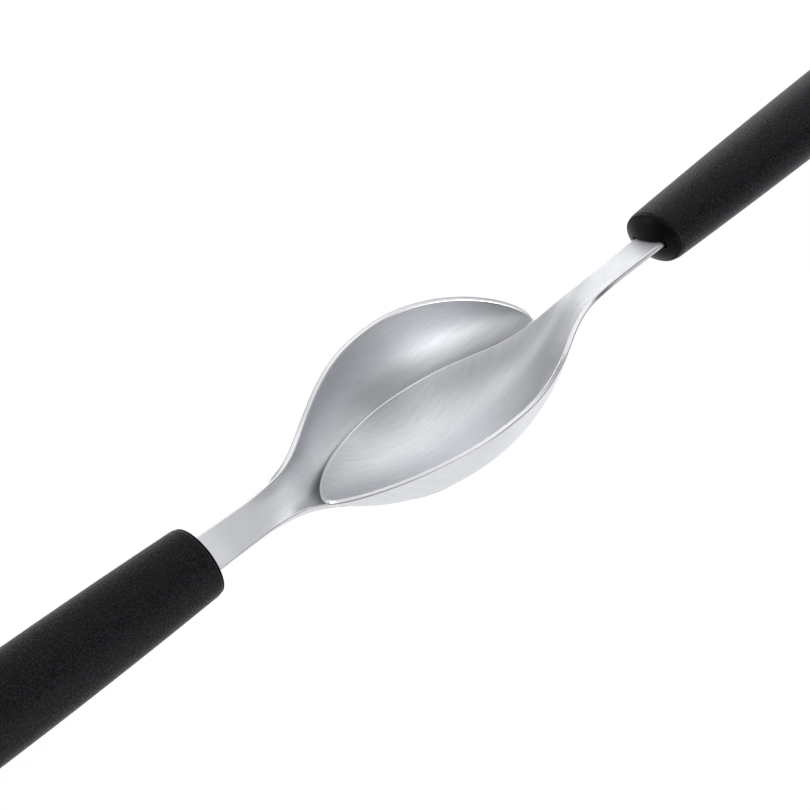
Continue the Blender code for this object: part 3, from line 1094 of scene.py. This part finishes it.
@dataclass(frozen=True)
class Panel:
    """A flat rectangle that stands round the pair and faces it.

    Attributes:
        name: What it is.
        azimuth: Azimuth of its middle from +X, in degrees.
        elevation: Elevation of its middle, in degrees.
        distance: Distance of its middle from the pair.
        half_angles: Angles that half its width and half its height fill, in degrees.
        brightness: How bright it looks, where a white room is 1.
    """

    name: str
    azimuth: float
    elevation: float
    distance: float
    half_angles: tuple[float, float]
    brightness: float

    def size(self) -> tuple[float, float]:
        """Width and height."""
        width, height = (2.0 * self.distance * math.tan(math.radians(half)) for half in self.half_angles)
        return width, height

    def matrix(self) -> Array:
        """Place and turn: its own x axis lies level and its -z axis points at the pair."""
        outward = toward(self.azimuth, self.elevation)
        side = unit(np.cross(np.array([0.0, 0.0, 1.0]), outward))
        turn = np.eye(4)
        turn[:3, :3] = np.stack([side, np.cross(outward, side), outward], axis=1)
        turn[:3, 3] = self.distance * outward
        return turn

    def add_lamp(self) -> bpy.types.Object:
        """Add the panel as a softbox. Its power is brightness * pi * area."""
        width, height = self.size()
        data = bpy.data.lights.new(self.name, "AREA")
        data.shape = "RECTANGLE"
        data.size = width
        data.size_y = height
        data.energy = self.brightness * math.pi * width * height
        lamp = bpy.data.objects.new(self.name, data)
        lamp.matrix_world = self.matrix().T.tolist()
        lamp.visible_camera = False
        bpy.context.scene.collection.objects.link(lamp)
        return lamp

    def add_card(self) -> bpy.types.Object:
        """Add the panel as a dark card that only the gloss of the pair shows."""
        matrix = self.matrix()
        world = rectangle(*self.size()) @ matrix[:3, :3].T + matrix[:3, 3]
        material = empty_material(self.name)
        shader = add_node(material.node_tree, "ShaderNodeEmission", {}, {"Strength": self.brightness})
        card = new_object(self.name, Surface(world, [[0, 1, 2, 3]]), use_surface(material, shader))
        material.cycles.emission_sampling = "NONE"
        card.visible_camera = False
        card.visible_diffuse = False
        card.visible_shadow = False
        return card


class Studio:
    """White floor and room, softboxes, and dark cards that give the steel its shades."""

    FLOOR_SIZE = 8.0
    FLOOR_DROP = 0.1 * MM
    FLOOR_COLOUR = "#f2f2f2"
    FLOOR_WHITE_SHARE = 0.85
    FLOOR_WHITE = 1.08
    ROOM_FILL = 0.55
    LAMPS = (
        Panel("front_softbox", 270.0, 21.0, 2.4, (17.0, 12.5), 3.9),
        Panel("low_front_softbox", 272.0, 16.0, 2.3, (21.0, 7.5), 3.5),
        Panel("left_softbox", 123.0, 15.0, 2.4, (12.0, 15.0), 3.3),
        Panel("back_softbox", 61.0, 5.0, 2.4, (17.5, 5.0), 3.9),
        Panel("overhead_softbox", 35.0, 57.0, 2.4, (39.0, 34.0), 0.33),
    )
    CARDS = (
        Panel("camera_side_card", 182.0, 23.0, 3.0, (42.5, 22.5), 0.06),
        Panel("front_card", 313.0, 30.0, 3.0, (19.0, 30.0), 0.08),
        Panel("high_card", 175.0, 80.0, 3.0, (38.0, 18.0), 0.42),
        Panel("back_card", 94.0, 20.0, 3.0, (22.0, 13.0), 0.06),
        Panel("far_card", 47.0, 15.0, 3.0, (30.0, 15.0), 0.07),
    )

    def seen_directly(self, tree: bpy.types.NodeTree) -> bpy.types.NodeSocket:
        """1 for what the camera, a gloss or a clear piece shows, and 0 for light on the object."""
        path = add_node(tree, "ShaderNodeLightPath")
        shown = path.outputs["Is Camera Ray"]
        for name in ("Is Glossy Ray", "Is Transmission Ray"):
            shown = add_node(tree, "ShaderNodeMath", {"operation": "MAXIMUM"}, {
                0: shown,
                1: path.outputs[name],
            }).outputs["Value"]
        return shown

    def add_floor(self) -> bpy.types.Object:
        """Add the floor, which looks white but keeps a faint shadow."""
        corners = rectangle(self.FLOOR_SIZE, self.FLOOR_SIZE)
        corners[:, 2] = packed_low.z - self.FLOOR_DROP
        material = empty_material("white_floor")
        tree = material.node_tree
        share = add_node(tree, "ShaderNodeMath", {"operation": "MULTIPLY"}, {
            0: self.seen_directly(tree),
            1: self.FLOOR_WHITE_SHARE,
        })
        matte = add_node(tree, "ShaderNodeBsdfDiffuse", {}, {"Color": linear(self.FLOOR_COLOUR)})
        white = add_node(tree, "ShaderNodeEmission", {}, {"Strength": self.FLOOR_WHITE})
        shader = add_node(tree, "ShaderNodeMixShader", {}, {
            0: share.outputs["Value"],
            1: matte.outputs["BSDF"],
            2: white.outputs["Emission"],
        })
        material.cycles.emission_sampling = "NONE"
        floor = new_object("floor", Surface(corners, [[0, 1, 2, 3]]), use_surface(material, shader))
        return floor

    def add_world(self) -> None:
        """Make the room white to look at, and a soft fill for the object."""
        world = bpy.data.worlds.new("white_room")
        world.use_nodes = True
        tree = world.node_tree
        tree.nodes.clear()
        strength = add_node(tree, "ShaderNodeMapRange", {}, {
            "Value": self.seen_directly(tree),
            "To Min": self.ROOM_FILL,
            "To Max": 1.0,
        })
        background = add_node(tree, "ShaderNodeBackground", {}, {
            "Color": (1.0, 1.0, 1.0, 1.0),
            "Strength": strength.outputs["Result"],
        })
        output = add_node(tree, "ShaderNodeOutputWorld")
        tree.links.new(background.outputs["Background"], output.inputs["Surface"])
        world.cycles.sampling_method = "NONE"
        bpy.context.scene.world = world

    def build(self) -> None:
        """Add the floor, the room, the lamps and the cards."""
        self.add_floor()
        self.add_world()
        for panel in self.LAMPS:
            panel.add_lamp()
        for panel in self.CARDS:
            panel.add_card()


def main() -> None:
    """Build the spoons and the studio."""
    logging.basicConfig(level=logging.INFO, format="%(message)s")
    bpy.context.scene.view_settings.view_transform = "Standard"
    Viewpoint().add_camera()
    # The face's mottling and the grip's grain are really 0.1 to 0.2 mm wide. They are drawn 0.3
    # and 0.36 mm wide, so that they show.
    materials = Materials(
        steel=SatinSteel().material(),
        core=MouldedPlastic(
            name="smooth_moulded_plastic",
            colour="#050506",
            light_colour="#08080a",
            roughness=0.34,
            top_roughness=0.30,
            specular=0.07,
            sheen=0.01,
            grain=0.3 * MM,
            grain_height=0.002 * MM,
        ).material(),
        grip=MouldedPlastic(
            name="grained_moulded_plastic",
            colour="#010102",
            light_colour="#212127",
            roughness=0.46,
            top_roughness=0.30,
            specular=0.10,
            sheen=0.24,
            grain=0.36 * MM,
            grain_height=0.05 * MM,
        ).material(),
    )
    for spoon in Spoon:
        for piece in SpoonPieces(spoon, SPOON_LEAN, BladeForm(), HandleForm()).build(materials):
            log.info("%s: %d faces", piece.name, len(piece.data.polygons))
    Studio().build()


if __name__ == "__main__":
    main()
